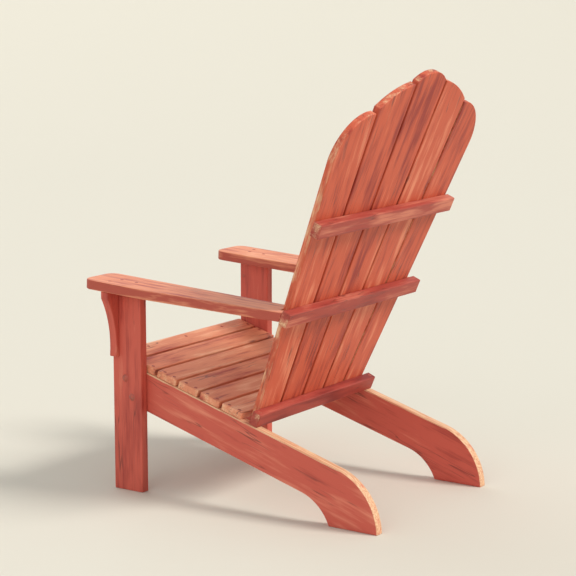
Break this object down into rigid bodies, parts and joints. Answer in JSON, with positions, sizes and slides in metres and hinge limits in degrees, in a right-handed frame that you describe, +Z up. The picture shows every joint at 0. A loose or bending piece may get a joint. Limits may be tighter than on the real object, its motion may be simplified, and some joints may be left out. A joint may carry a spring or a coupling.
{
  "type": "adirondack chair",
  "caption": "Tall-back painted wooden Adirondack chair with fanned, round-tipped back slats, a sloping slatted seat, wide bracketed arms and curved rear stringers",
  "frame": {"origin": "middle of the chair's footprint box, on the floor", "axes": "+Z up, +X towards the sitter's left, +Y towards the rear, so the sitter faces -Y"},
  "size_m": [0.69, 0.8498, 1.1051],
  "materials": {
    "coral_paint": "softwood boards under weathered coral-red paint",
    "pale_coral_paint": "softwood boards under sun-faded coral paint",
    "zinc_steel": "zinc-plated steel, heads touched with paint"
  },
  "bodies": {
    "root": {"side_stringer_left": "coral_paint", "side_stringer_right": "coral_paint", "front_leg_left": "coral_paint", "front_leg_right": "coral_paint", "arm_left": "pale_coral_paint", "arm_right": "pale_coral_paint", "arm_bracket_left": "coral_paint", "arm_bracket_right": "coral_paint", "front_apron": "coral_paint", "seat_slat_1": "pale_coral_paint", "seat_slat_2": "pale_coral_paint", "seat_slat_3": "pale_coral_paint", "seat_slat_4": "pale_coral_paint", "seat_slat_5": "pale_coral_paint", "seat_slat_6": "pale_coral_paint", "back_slat_1": "coral_paint", "back_slat_2": "coral_paint", "back_slat_3": "coral_paint", "back_slat_4": "coral_paint", "back_slat_5": "coral_paint", "lower_back_rail": "pale_coral_paint", "middle_back_rail": "pale_coral_paint", "upper_back_rail": "pale_coral_paint", "seat_slat_screws": "zinc_steel", "back_slat_screws": "zinc_steel", "arm_screws": "zinc_steel", "bracket_screws": "zinc_steel", "apron_screws": "zinc_steel", "lower_rail_screws": "zinc_steel", "arm_rail_screws": "zinc_steel", "leg_bolts": "zinc_steel", "leg_bolt_washers": "zinc_steel", "leg_bolt_nuts": "zinc_steel"}
  },
  "joints": []
}
